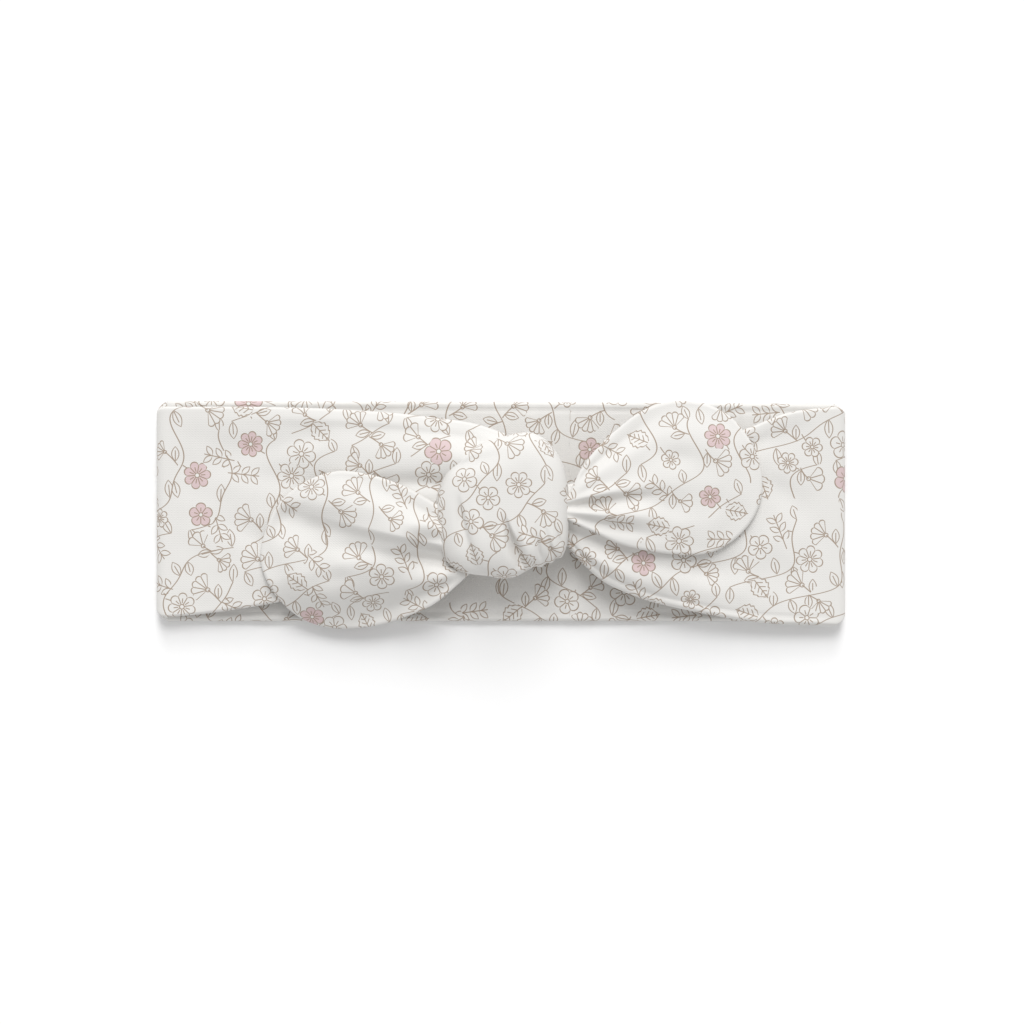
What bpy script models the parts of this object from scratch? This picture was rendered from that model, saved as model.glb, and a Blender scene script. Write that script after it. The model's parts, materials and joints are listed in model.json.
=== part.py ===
"""A knotted jersey headband, lying flat with its knot on top.

A two-layer tube of jersey forms a loop. Its back lies on the surface, folds over at both
ends and comes back as two arms, which meet in a knot. Two rounded tails leave the knot.
+X runs along the band, +Y runs across it and +Z points up from the surface it lies on.
The loop opens as a six-bar linkage: two back hinges, two folds and two hinges at the knot.
"""

import math

import bmesh
import bpy
import numpy as np

MM = 0.001

# Fabric
LAYER = 0.8 * MM  # one layer of jersey
ALLOWANCE = 0.4 * MM  # the pressed seam allowance between the two layers
GAP = 0.3 * MM  # clearance between touching pieces
TUBE = 2 * LAYER + ALLOWANCE + 2 * GAP  # the flattened tube
SEAM_WIDTH = 4.5 * MM
SEAM_INSET = 0.5 * MM

# The loop, lying flat
FLAT_LENGTH = 180 * MM
FOLD_SPACE = 0.6 * MM  # between back and arm at a fold
FOLD_RADIUS = TUBE + FOLD_SPACE / 2
FOLD_X = FLAT_LENGTH / 2 - FOLD_RADIUS
HINGE_X = 18 * MM  # where the back bends and where the arms meet the knot
ARM_FOOT = TUBE + FOLD_SPACE  # an arm's underside at the fold
ARM_HEAD = 9.2 * MM  # an arm's underside at the knot
ARM_THICK = 6.0 * MM  # the gathered arm at the knot

# The linkage: each fold's axis is halfway up between the back's hinge and the knot's hinge
BACK_HINGE_Z = TUBE
FOLD_HINGE_Z = FOLD_RADIUS
KNOT_HINGE_Z = 2 * FOLD_HINGE_Z - BACK_HINGE_Z

# The knot
KNOT_LOW, KNOT_HIGH = 7.3 * MM, 22.3 * MM
KNOT_BOTTOM_Y, KNOT_TOP_Y = -16.7 * MM, 20.6 * MM
KNOT_SIDE = 17.5 * MM
WRAP = 3.2 * MM  # the bunched cloth of the wrap
WRAP_BACK = 9 * MM  # half the wrap's width behind the knot, where it is pulled tight
WRAP_SHIFT = 4 * MM  # how far the wrap leans to the right behind the knot
WRAP_POWER, BUNCH_POWER, STRAND_POWER = 2.4, 3, 2.6  # how square each rounded section is
STRAND_LIFT = 2.0 * MM  # the strands inside the wrap lie this much higher than their arms
STRAND_NARROW = 0.2  # the share a strand narrows towards the knot's middle
STRAND_BOTTOM = -9 * MM
LEFT_STRAND_TOP, RIGHT_STRAND_TOP = 14 * MM, 12 * MM

# Mesh steps
ARM_STEPS, BACK_STEPS, ACROSS_STEPS = 14, 2, 4
FOLD_STEPS = 13
TAIL_STEPS = 27
TAIL_RINGS = (1.0, 0.72, 0.4)
WRAP_STEPS, BUNCH_STEPS = 32, 10
STRAND_STEPS, STRAND_ROUND = 7, 14

# Edges of the band, as (x, y) in millimetres
BACK_TOP = ((-87.1, 29.8), (0.0, 29.5), (87.1, 29.0))
BACK_BOTTOM = ((-87.1, -27.9), (87.1, -27.9))
LEFT_ARM_TOP = ((-87.1, 28.2), (-60.0, 28.0), (-40.0, 27.2), (-18.0, 25.4))
LEFT_ARM_BOTTOM = ((-87.1, -26.9), (-75.0, -25.6), (-56.0, -22.4), (-36.0, -17.0), (-18.0, -11.0))
RIGHT_ARM_TOP = ((18.0, 8.0), (30.0, 11.0), (45.0, 16.0), (64.0, 22.4), (75.0, 26.6), (87.1, 28.2))
RIGHT_ARM_BOTTOM = (
    (18.0, -9.0),
    (22.0, -13.6),
    (32.0, -20.0),
    (50.0, -25.2),
    (68.0, -28.2),
    (87.1, -29.0),
)

# Outlines of the tails, root first, as (x, y) in millimetres
LEFT_TAIL = (
    (-18.2, 4.0),
    (-26.5, 8.0),
    (-42.0, 11.2),
    (-55.0, 5.6),
    (-62.5, -10.5),
    (-56.7, -23.2),
    (-41.0, -29.8),
    (-26.0, -27.4),
    (-18.2, -24.0),
)
RIGHT_TAIL = (
    (18.2, 7.0),
    (28.6, 20.9),
    (44.3, 29.4),
    (58.8, 26.1),
    (68.0, 8.0),
    (61.9, -5.4),
    (49.6, -10.6),
    (31.2, -8.0),
    (18.2, -3.0),
)

JERSEY = (0.83, 0.81, 0.78, 1.0)
LINING = (0.78, 0.76, 0.73, 1.0)
THREAD = (0.88, 0.86, 0.83, 1.0)


def material(name, colour, roughness):
    """A matte cloth material."""
    made = bpy.data.materials.get(name) or bpy.data.materials.new(name)
    made.use_nodes = True
    shader = made.node_tree.nodes["Principled BSDF"]
    shader.inputs["Base Color"].default_value = colour
    shader.inputs["Roughness"].default_value = roughness
    shader.inputs["Metallic"].default_value = 0.0
    return made


def cloth_of(layer):
    """The material of the face or of the lining."""
    if layer == "face":
        return material("jersey_face", JERSEY, 0.85)
    return material("jersey_lining", LINING, 0.9)


def hinge(name, x, z, parent=None):
    """An empty on a joint's axis, which runs along Y."""
    made = bpy.data.objects.new(name, None)
    made.empty_display_size = 0.01
    bpy.context.scene.collection.objects.link(made)
    made["axis_at"] = (x, 0.0, z)
    made.location = (x, 0.0, z)
    if parent is not None:
        start = parent["axis_at"]
        made.parent = parent
        made.location = (x - start[0], 0.0, z - start[2])
    return made


def piece(name, points, faces, cloth, parent=None):
    """One closed solid from points in world places, with its origin on its parent's axis."""
    start = np.array(parent["axis_at"]) if parent is not None else np.zeros(3)
    mesh = bpy.data.meshes.new(name)
    mesh.from_pydata((np.asarray(points) - start).tolist(), [], faces)
    shaped = bmesh.new()
    shaped.from_mesh(mesh)
    bmesh.ops.recalc_face_normals(shaped, faces=shaped.faces)
    shaped.to_mesh(mesh)
    shaped.free()
    mesh.shade_smooth()
    mesh.set_sharp_from_angle(angle=math.radians(40))
    mesh.materials.append(cloth)
    made = bpy.data.objects.new(name, mesh)
    made.parent = parent
    bpy.context.scene.collection.objects.link(made)
    return made


def ease(t):
    """0 to 1, level at both ends."""
    t = min(max(t, 0.0), 1.0)
    return t * t * (3 - 2 * t)


def edge(points, x):
    """The y of a smooth curve through points given in millimetres, at x in metres."""
    xs, ys = np.array(points).T * MM
    slopes = np.gradient(ys, xs)
    k = int(np.clip(np.searchsorted(xs, x) - 1, 0, len(xs) - 2))
    span = xs[k + 1] - xs[k]
    t = (x - xs[k]) / span
    low = ys[k] * (1 + 2 * t) * (1 - t) ** 2 + slopes[k] * span * t * (1 - t) ** 2
    high = ys[k + 1] * t * t * (3 - 2 * t) + slopes[k + 1] * span * t * t * (t - 1)
    return float(low + high)


def slab(lower, upper):
    """Points and faces of a closed plate between two grids of points."""
    rows, columns = len(lower), len(lower[0])
    count = rows * columns
    points = [p for row in lower for p in row] + [p for row in upper for p in row]
    faces = []
    for r in range(rows - 1):
        for c in range(columns - 1):
            corner = r * columns + c
            quad = (corner, corner + 1, corner + columns + 1, corner + columns)
            faces.append(quad[::-1])
            faces.append(tuple(count + i for i in quad))
    rim = [(0, c) for c in range(columns)]
    rim += [(r, columns - 1) for r in range(1, rows)]
    rim += [(rows - 1, c) for c in range(columns - 2, -1, -1)]
    rim += [(r, 0) for r in range(rows - 2, 0, -1)]
    ring = [r * columns + c for r, c in rim]
    for a, b in zip(ring, ring[1:] + ring[:1], strict=True):
        faces.append((a, b, count + b, count + a))
    return points, faces


def arm_low(x):
    """An arm's underside: on the back at the fold, and lifted where it meets the knot."""
    return ARM_FOOT + (ARM_HEAD - ARM_FOOT) * ease((FOLD_X - abs(x)) / (FOLD_X - HINGE_X))


def arm_thick(x):
    """An arm's thickness, which grows as its cloth gathers."""
    return TUBE + (ARM_THICK - TUBE) * ease((FOLD_X - abs(x)) / (FOLD_X - HINGE_X))


def arm_high(x):
    return arm_low(x) + arm_thick(x)


def panel(name, span, top, bottom, low, thick, parent):
    """A length of the tube: two layers, and a seam allowance between them along each edge.

    span is (x0, x1), low and thick give the tube's underside and thickness at x. The face
    of the cloth is on the loop's outer side: down on the back and up on an arm.
    """
    arm = name.endswith("arm")
    xs = np.linspace(*span, ARM_STEPS if arm else BACK_STEPS)
    layers = ("lining", "face") if arm else ("face", "lining")
    starts = {layers[0]: 0.0, layers[1]: TUBE - LAYER}
    for layer, start in starts.items():
        grids = []
        for level in (start, start + LAYER):
            grids.append([
                [
                    (x, y, low(x) + level * thick(x) / TUBE)
                    for y in np.linspace(edge(bottom, x), edge(top, x), ACROSS_STEPS)
                ]
                for x in xs
            ])
        piece(f"{name}_{layer}", *slab(*grids), cloth_of(layer), parent)
    thread = material("seam_thread", THREAD, 0.7)
    for side, rim, inward in (("top", top, -1), ("bottom", bottom, 1)):
        grids = []
        for level in (LAYER + GAP, LAYER + GAP + ALLOWANCE):
            grids.append([
                [
                    (x, edge(rim, x) + inward * depth, low(x) + level * thick(x) / TUBE)
                    for depth in (SEAM_INSET, SEAM_INSET + SEAM_WIDTH)
                ]
                for x in xs
            ])
        piece(f"{name}_{side}_seam", *slab(*grids), thread, parent)


def fold(name, side, arm_top, arm_bottom, parent):
    """The half turn that joins the back to an arm, as two nested layers."""
    x = side * FOLD_X
    ends = [(edge(BACK_BOTTOM, x), edge(BACK_TOP, x)), (edge(arm_bottom, x), edge(arm_top, x))]
    inner = FOLD_SPACE / 2
    radii = {"lining": (inner, inner + LAYER), "face": (FOLD_RADIUS - LAYER, FOLD_RADIUS)}
    turns = np.linspace(0, 1, FOLD_STEPS)
    for layer, (near, far) in radii.items():
        grids = []
        for radius in (near, far):
            rows = []
            for turn in turns:
                angle = math.pi * (turn - 0.5)
                place = (
                    x + side * (GAP / 2 + radius * math.cos(angle) * (1 - GAP / 2 / FOLD_RADIUS)),
                    FOLD_HINGE_Z + radius * math.sin(angle),
                )
                mixed = [a + (b - a) * ease(turn) for a, b in zip(*ends, strict=True)]
                rows.append([(place[0], y, place[1]) for y in np.linspace(*mixed, ACROSS_STEPS)])
            grids.append(rows)
        piece(f"{name}_{layer}", *slab(*grids), cloth_of(layer), parent)


def outline(points, count):
    """Evenly spaced (x, y) in metres on a smooth open curve through points in millimetres."""
    shape = np.array(points) * MM
    marks = np.concatenate([[0], np.cumsum(np.linalg.norm(np.diff(shape, axis=0), axis=1))])
    pairs = [np.column_stack([marks, shape[:, k]]) / MM for k in (0, 1)]
    return np.array([
        [edge(pair, mark) for pair in pairs] for mark in np.linspace(0, marks[-1], count)
    ])


def tail(name, points, parent):
    """A rounded tail, which lies on its arm: two layers and the seam allowance round them."""
    rim = outline(points, TAIL_STEPS)
    middle = rim.mean(axis=0)
    for layer, start in {"lining": 0.0, "face": TUBE - LAYER}.items():
        cloth_points = []
        for level in (start, start + LAYER):
            for ring in TAIL_RINGS:
                flat = middle + (rim - middle) * ring
                cloth_points += [(*p, arm_high(p[0]) + GAP + level) for p in flat]
            cloth_points.append((*middle, arm_high(middle[0]) + GAP + level))
        count, sheet = len(rim), len(TAIL_RINGS) * len(rim) + 1
        faces = []
        for base in (0, sheet):
            for k in range(count):
                after = (k + 1) % count
                for ring in range(len(TAIL_RINGS) - 1):
                    a, b = base + ring * count, base + (ring + 1) * count
                    faces.append((a + k, a + after, b + after, b + k))
                last = base + (len(TAIL_RINGS) - 1) * count
                faces.append((last + k, last + after, base + sheet - 1))
        for k in range(count):
            after = (k + 1) % count
            faces.append((k, after, sheet + after, sheet + k))
        piece(f"{name}_{layer}", cloth_points, faces, cloth_of(layer), parent)
    grids = []
    reach = np.linalg.norm(rim - middle, axis=1)[:, None]
    for level in (LAYER + GAP, LAYER + GAP + ALLOWANCE):
        rows = [
            middle + (rim - middle) * (1 - depth / reach)
            for depth in (SEAM_INSET, SEAM_INSET + SEAM_WIDTH)
        ]
        grids.append([
            [(*p, arm_high(p[0]) + GAP + level) for p in pair] for pair in zip(*rows, strict=True)
        ])
    piece(f"{name}_seam", *slab(*grids), material("seam_thread", THREAD, 0.7), parent)


def super_point(angle, power):
    """A point of a unit superellipse."""
    c, s = math.cos(angle), math.sin(angle)
    return math.copysign(abs(c) ** (2 / power), c), math.copysign(abs(s) ** (2 / power), s)


def knot_wrap(parent):
    """The turn of cloth over the front and round the back of the knot: a wide closed ring."""
    middle = ((KNOT_BOTTOM_Y + KNOT_TOP_Y) / 2, (KNOT_LOW + KNOT_HIGH) / 2)
    half = ((KNOT_TOP_Y - KNOT_BOTTOM_Y) / 2, (KNOT_HIGH - KNOT_LOW) / 2)
    turns, around = WRAP_STEPS, BUNCH_STEPS
    points = []
    for turn in range(turns):
        angle = 2 * math.pi * turn / turns
        path = np.array(super_point(angle, WRAP_POWER))
        front = ease((path[1] + 0.7) / 1.4)  # 0 behind the knot, 1 over its front
        width = WRAP_BACK + (KNOT_SIDE - WRAP_BACK) * front
        shift = WRAP_SHIFT * (1 - front)
        for k in range(around):
            across, out = super_point(math.pi * (2 * k + 1) / around, BUNCH_POWER)
            edge_drop = 0.5 * (1 - out) * WRAP
            y = middle[0] + path[0] * (half[0] - edge_drop)
            z = middle[1] + path[1] * (half[1] - edge_drop)
            points.append((shift + across * width, y, z))
    faces = []
    for turn in range(turns):
        after = (turn + 1) % turns
        for k in range(around):
            along = (k + 1) % around
            here, there = turn * around, after * around
            faces.append((here + k, here + along, there + along, there + k))
    piece("knot_wrap", points, faces, cloth_of("face"), parent)


def strand(name, side, bottom, top, parent):
    """The gathered end of an arm inside the knot, narrowing to the knot's middle."""
    low, high = ARM_HEAD + STRAND_LIFT, ARM_HEAD + ARM_THICK + STRAND_LIFT
    sections, around = STRAND_STEPS, STRAND_ROUND
    points = []
    for k in range(sections):
        t = k / (sections - 1)
        x = side * (HINGE_X - GAP / 2 + (GAP / 2 - (HINGE_X - GAP / 2)) * t)
        narrow = 1 - STRAND_NARROW * ease(t)
        for j in range(around):
            y, z = super_point(2 * math.pi * j / around, STRAND_POWER)
            points.append((
                x,
                (bottom + top) / 2 + y * narrow * (top - bottom) / 2,
                (low + high) / 2 + z * narrow * (high - low) / 2,
            ))
    faces = [tuple(range(around)), tuple(range((sections - 1) * around, sections * around))]
    for k in range(sections - 1):
        for j in range(around):
            along = (j + 1) % around
            here, there = k * around, (k + 1) * around
            faces.append((here + j, here + along, there + along, there + j))
    piece(name, points, faces, cloth_of("face"), parent)


def build():
    """The headband: every piece hangs from the empty on its joint's axis."""
    for old in list(bpy.data.objects):
        bpy.data.objects.remove(old)

    def flat(_x):
        return 0.0

    def even(_x):
        return TUBE

    half_gap = GAP / 2
    inner, outer = HINGE_X + half_gap, FOLD_X
    back = (BACK_TOP, BACK_BOTTOM, flat, even)
    panel("back_center", (-HINGE_X + half_gap, HINGE_X - half_gap), *back, None)

    back_left = hinge("back_left_hinge", -HINGE_X, BACK_HINGE_Z)
    panel("back_left", (-outer, -inner), *back, back_left)
    fold_left = hinge("left_fold_hinge", -FOLD_X, FOLD_HINGE_Z, back_left)
    fold("left_fold", -1, LEFT_ARM_TOP, LEFT_ARM_BOTTOM, fold_left)
    panel("left_arm", (-outer, -inner), LEFT_ARM_TOP, LEFT_ARM_BOTTOM, arm_low, arm_thick, fold_left)

    knot = hinge("knot_left_hinge", -HINGE_X, KNOT_HINGE_Z, fold_left)
    knot_wrap(knot)
    strand("knot_left_strand", -1, STRAND_BOTTOM, LEFT_STRAND_TOP, knot)
    strand("knot_right_strand", 1, STRAND_BOTTOM, RIGHT_STRAND_TOP, knot)

    arm_right = hinge("knot_right_hinge", HINGE_X, KNOT_HINGE_Z, knot)
    panel("right_arm", (inner, outer), RIGHT_ARM_TOP, RIGHT_ARM_BOTTOM, arm_low, arm_thick, arm_right)
    fold_right = hinge("right_fold_hinge", FOLD_X, FOLD_HINGE_Z, arm_right)
    fold("right_fold", 1, RIGHT_ARM_TOP, RIGHT_ARM_BOTTOM, fold_right)
    panel("back_right", (inner, outer), *back, fold_right)

    tail_top = arm_high(HINGE_X) + GAP + TUBE
    tail("left_tail", LEFT_TAIL, hinge("left_tail_hinge", -HINGE_X, tail_top, knot))
    tail("right_tail", RIGHT_TAIL, hinge("right_tail_hinge", HINGE_X, tail_top, knot))
    bpy.context.view_layer.update()


build()
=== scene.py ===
"""Knotted headband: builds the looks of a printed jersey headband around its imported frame.

The cloth is a two-layer tube of jersey, laid flat as a loop: a back, two folds, two arms that
meet in a knot, and two rounded tails. Lengths in the shape code are in millimetres and become
metres when a mesh is made. +X runs along the band, +Y across it and +Z up.
"""

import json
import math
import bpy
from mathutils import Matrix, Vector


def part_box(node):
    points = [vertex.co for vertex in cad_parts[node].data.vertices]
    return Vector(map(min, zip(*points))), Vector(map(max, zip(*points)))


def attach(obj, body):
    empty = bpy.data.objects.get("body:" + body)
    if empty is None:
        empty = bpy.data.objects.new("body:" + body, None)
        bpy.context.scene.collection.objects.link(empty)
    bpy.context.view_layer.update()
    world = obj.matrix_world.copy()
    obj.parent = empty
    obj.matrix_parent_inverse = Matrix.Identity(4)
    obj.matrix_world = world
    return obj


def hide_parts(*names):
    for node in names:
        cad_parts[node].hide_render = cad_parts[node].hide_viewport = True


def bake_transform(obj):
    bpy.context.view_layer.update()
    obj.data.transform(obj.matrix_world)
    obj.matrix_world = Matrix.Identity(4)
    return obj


bl_info = {
    "name": "Knotted Headband",
    "version": (1, 0, 0),
    "blender": (4, 5, 0),
    "location": "3D View > Sidebar > Headband",
    "description": "Builds a knotted headband of printed jersey around its frame",
    "category": "Add Mesh",
}

import bmesh
import bpy
import numpy as np

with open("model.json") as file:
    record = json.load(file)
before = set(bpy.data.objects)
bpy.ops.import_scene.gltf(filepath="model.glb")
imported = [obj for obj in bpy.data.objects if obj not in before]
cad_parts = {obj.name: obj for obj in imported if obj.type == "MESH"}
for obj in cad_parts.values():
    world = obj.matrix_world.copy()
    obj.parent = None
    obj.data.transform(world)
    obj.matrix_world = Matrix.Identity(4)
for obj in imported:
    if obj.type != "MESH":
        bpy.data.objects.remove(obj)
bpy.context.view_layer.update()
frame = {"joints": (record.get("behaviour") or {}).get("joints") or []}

MM = 0.001
HINGES = {j["name"]: np.array(j["pos_m"]) / MM for j in frame["joints"]}


def corner(node, which, axis):
    """One coordinate of a CAD node's box, in millimetres."""
    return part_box(node)[which][axis] / MM


# Sizes read from the frame
TUBE = corner("back_center_lining", 1, 2)
FOLD_X = -corner("left_arm_lining", 0, 0)
FOLD_Z = float(HINGES["left_fold_open"][2])
FOLD_RADIUS = corner("left_fold_face", 1, 2) - FOLD_Z
KNOT_HINGE_X = -float(HINGES["knot_left_bend"][0])
ARM_FOOT = corner("left_arm_lining", 0, 2)
KNOT_LOW, KNOT_HIGH = corner("knot_wrap", 0, 2), corner("knot_wrap", 1, 2)
LOOP_LENGTH = 2 * (2 * FOLD_X + math.pi * FOLD_RADIUS)

# The arms at the knot
ARM_HEAD = 9.2
ARM_THICK = 6.0
ARM_SAG, ARM_SAG_REACH = 1.6, 9.0  # how far a lower edge sinks there, and over what width
FULL_REACH_TOP, FULL_REACH_BOTTOM = 3.5, 7.0  # the width over which an edge fills out
UNDERSIDE_SHARE = 0.2  # how much of a fold shows on the inner layer
CLEARANCE = 0.3  # between an arm and its tail
ARM_GAP, LAYER_GAP = 0.35, 0.1  # the least gaps over the back and between an arm's layers

# Rims, seams and ends
RIM = 0.8  # how far the rolled edge of the flattened tube reaches sideways
SEAM_AT, SEAM_SPREAD = 2.1, 0.42  # the groove beside a sewn edge
ROLL_AT, ROLL_SPREAD, ROLL_HEIGHT = 1.1, 0.7, 0.12  # the roll between the edge and its groove
PUCKER_HEIGHT, PUCKER_REACH = 0.12, 2.2
END_LENGTH = 6.0  # a piece is even over this length, where it meets a fold
SOFT_START, SOFT_REACH = 0.5, 6.0  # folds fade out over this width at an edge
UNEVENNESS = 0.3
BACK_UNEVENNESS = 0.22
RIPPLES = ((31.0, 0.5), (17.0, 0.3), (9.0, 0.2))  # length and share of each wave in soft cloth

# How every fold in the cloth runs, as shares of its length or in millimetres
FOLD_START_WIDTH, FOLD_SPREAD = 0.55, 0.9
FOLD_FADE_OUT = 1.15
FOLD_RUN_IN, FOLD_FADE_IN = 5.0, 9.0

# The half turns at the band's ends
TURN_STEPS = 25
CORNER_RADIUS, CORNER_CUT = 1.03, 0.7  # the rounding of their corners, against the fold's radius

# The rows that keep the back's open bend closed, inside the next piece
KNUCKLE_TURNS = np.radians(np.linspace(4, 60, 9))
KNUCKLE_REACH, KNUCKLE_WIDTH = 0.985, 0.994

# The knot's rounding, and how much lower it is on its left and at its bottom
KNOT_REACH_TOP, KNOT_REACH_BOTTOM, KNOT_POWER = 10.5, 9.0, 2.3
KNOT_LEAN_LEFT, KNOT_LEAN_BOTTOM, KNOT_LEAN_REACH = 0.10, 0.08, 18.0
KNOT_TOP_SHARE = 0.97  # leaves room for the cloth between its folds
KNOT_SOFT_REACH = 2.5

# The tails: their rim, their swell, where they bend down past their arm, and where they tuck
# under the knot
TAIL_RIM, TAIL_RIM_REACH, TAIL_BELLY = 1.0, 0.9, 0.9
TAIL_SWELL, TAIL_SWELL_MIDDLE, TAIL_SWELL_REACH = 0.8, 1.3, 9.0
TAIL_SOFT_START, TAIL_SOFT_REACH = 0.4, 5.0
HANG_BEFORE, HANG_WIDTH = 6.5, 18.5
HANG_FROM, HANG_LENGTH = 14.0, 16.0
TUCK_FROM, TUCK_LENGTH = 27.0, 9.0
TUCK_BELOW, TUCK_DEPTH = -2.0, 5.0

# Mesh detail across the band, and round and across the knot and the tails
COLUMNS = 84
RIM_STEPS = 6
AROUND = 220
CURVE_STEPS, OUTLINE_POINTS = 24, 700
BATCHES = 24  # distances are measured in this many parts, to need less memory
KNOT_RINGS, TAIL_RINGS = 64, 72
KNOT_CROWD, TAIL_CROWD = 1.9, 1.6  # how much the rings crowd together at the rim

LINING_SHIFT = np.array([23.0, 11.0])  # the lining is cut from another part of the cloth

# Edges of the band as (x, y)
BACK_TOP = ((-87.1, 29.8), (0.0, 29.5), (87.1, 29.0))
BACK_BOTTOM = ((-87.1, -27.9), (0.0, -27.9), (87.1, -27.9))
LEFT_ARM_TOP = (
    (-87.1, 28.2),
    (-60.0, 28.0),
    (-40.0, 27.2),
    (-18.0, 25.2),
    (-5.5, 23.2),
    (6.0, 19.0),
)
LEFT_ARM_BOTTOM = (
    (-87.1, -26.9),
    (-75.0, -25.6),
    (-56.0, -22.4),
    (-36.0, -17.0),
    (-18.0, -11.0),
    (6.0, -6.0),
)
RIGHT_ARM_TOP = (
    (4.0, 7.0),
    (18.0, 8.0),
    (30.0, 11.0),
    (45.0, 16.0),
    (64.0, 22.4),
    (75.0, 26.6),
    (87.1, 28.2),
)
RIGHT_ARM_BOTTOM = (
    (4.0, -6.0),
    (17.0, -8.2),
    (20.7, -12.3),
    (26.0, -17.0),
    (32.5, -20.3),
    (50.0, -25.2),
    (68.0, -28.2),
    (87.1, -29.0),
)

# Closed outlines as (x, y), anticlockwise
LEFT_TAIL = (
    (-3.5, -9.5),
    (-10.5, -1.5),
    (-20.0, 4.7),
    (-27.0, 8.2),
    (-34.5, 10.5),
    (-42.5, 11.2),
    (-50.0, 8.8),
    (-57.2, 3.4),
    (-61.2, -4.5),
    (-62.4, -11.5),
    (-60.6, -17.5),
    (-56.7, -23.2),
    (-51.5, -27.4),
    (-45.0, -29.5),
    (-38.0, -29.6),
    (-31.0, -28.6),
    (-24.0, -26.3),
    (-17.6, -23.4),
    (-12.0, -18.9),
    (-6.5, -13.6),
)[::-1]
RIGHT_TAIL = (
    (12.0, 1.5),
    (17.4, 5.5),
    (20.5, 11.5),
    (24.6, 16.9),
    (29.5, 21.6),
    (36.6, 26.9),
    (44.3, 29.3),
    (52.2, 28.9),
    (58.9, 26.0),
    (64.0, 20.4),
    (67.2, 13.5),
    (67.9, 6.0),
    (65.9, -0.3),
    (61.9, -5.4),
    (56.3, -9.2),
    (49.6, -10.5),
    (40.4, -9.8),
    (31.2, -7.8),
    (24.0, -4.6),
    (17.4, -1.4),
)[::-1]
KNOT = (
    (6.6, 21.3),
    (10.9, 19.8),
    (14.2, 16.4),
    (16.4, 12.0),
    (17.4, 6.5),
    (17.5, 0.0),
    (17.4, -6.0),
    (16.6, -9.4),
    (15.5, -11.2),
    (14.3, -11.3),
    (13.2, -12.5),
    (11.8, -12.5),
    (10.4, -13.6),
    (8.9, -13.4),
    (6.2, -14.8),
    (3.6, -16.1),
    (0.4, -16.5),
    (-3.2, -15.9),
    (-7.4, -15.4),
    (-11.2, -14.3),
    (-14.2, -11.6),
    (-16.2, -6.8),
    (-16.8, -1.0),
    (-16.4, 5.0),
    (-14.2, 10.5),
    (-10.0, 15.5),
    (-4.5, 18.6),
    (1.5, 20.4),
)[::-1]

# Folds in the cloth: start (x, y), heading in degrees, length, height, width on the left and
# on the right of its heading, and sideways bend at its end. A negative height is a valley.
LEFT_ARM_FOLDS = (
    ((-2.0, 13.5), 174, 30, 3.2, 6.0, 5.5, 3.0),
    ((-6.0, 20.5), 172, 60, -1.5, 4.0, 3.4, 5.0),
    ((-14.0, 8.0), 178, 42, -1.2, 3.0, 3.0, 3.0),
    ((-45.0, 8.0), 168, 38, -1.0, 6.0, 7.0, 0.0),
    ((-46.0, 20.0), 186, 40, -0.8, 4.0, 5.0, 4.0),
    ((-60.0, -8.0), 150, 24, -0.7, 5.0, 5.0, 0.0),
)
RIGHT_ARM_FOLDS = (
    ((14.0, -5.5), -38, 42, 1.5, 2.2, 2.6, 9.0),
    ((15.0, -2.5), -28, 46, -1.7, 2.2, 2.6, 9.0),
    ((18.0, 0.5), -10, 46, 1.3, 3.5, 3.5, 6.0),
    ((55.0, 16.0), 16, 30, -1.2, 4.0, 4.0, 0.0),
    ((48.0, -12.0), -10, 40, -0.9, 5.0, 6.0, 0.0),
    ((70.0, 8.0), -30, 26, -0.6, 5.0, 6.0, 0.0),
)
LEFT_TAIL_FOLDS = (
    ((-9.0, -9.0), 168, 60, 2.7, 2.2, 10.0, -2.0),
    ((-10.0, -13.0), 172, 42, -1.6, 2.4, 2.0, 0.0),
    ((-10.0, -15.4), 190, 40, 1.8, 2.6, 5.0, 0.0),
    ((-11.0, -18.0), 200, 34, -1.2, 2.6, 2.2, 3.0),
    ((-12.0, -3.5), 150, 30, -1.5, 2.5, 2.5, 3.0),
    ((-60.0, 1.0), -13, 34, -2.7, 4.5, 8.0, 0.0),
    ((-40.0, -16.0), 182, 22, -0.9, 4.0, 5.0, 0.0),
)
RIGHT_TAIL_FOLDS = (
    ((14.0, 3.6), 58, 34, 1.2, 1.2, 1.4, -7.0),
    ((14.0, 3.0), 47, 36, -1.4, 1.3, 1.5, -4.0),
    ((13.0, 2.8), 36, 40, 1.0, 1.8, 2.6, -4.0),
    ((14.0, 2.6), 25, 26, -0.8, 1.6, 2.0, -4.0),
    ((13.0, 2.2), 17, 36, 1.4, 2.8, 2.3, -5.0),
    ((14.0, 1.7), 8, 32, -2.7, 1.5, 2.6, -1.0),
    ((13.0, 1.1), -6, 38, 1.6, 2.4, 2.2, 3.0),
    ((14.0, 0.2), -16, 27, -2.2, 1.6, 2.0, 2.0),
    ((13.0, -0.7), -27, 38, 1.4, 2.4, 1.8, 8.0),
    ((42.0, 15.0), -8, 30, -0.9, 4.5, 6.0, 0.0),
    ((40.0, 1.0), 4, 30, -0.7, 4.5, 5.0, 0.0),
)
KNOT_FOLDS = (
    ((2.2, -4.2), -71, 15, -3.4, 1.0, 1.9, 1.5),
    ((5.5, -5.0), -76, 16, 1.1, 2.4, 1.6, 2.0),
    ((-10.5, 2.0), -80, 22, -1.3, 1.1, 2.4, 2.0),
    ((-6.5, 0.0), -84, 18, 0.7, 2.0, 2.0, 0.0),
    ((-15.0, 12.0), 12, 20, -1.1, 1.8, 2.4, 0.0),
    ((9.6, -7.0), -82, 9, -0.9, 0.6, 0.9, 0.0),
    ((12.2, -6.0), -76, 9, -0.9, 0.6, 0.9, 0.0),
    ((14.4, -4.5), -70, 9, -0.8, 0.6, 0.9, 0.0),
)


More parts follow.
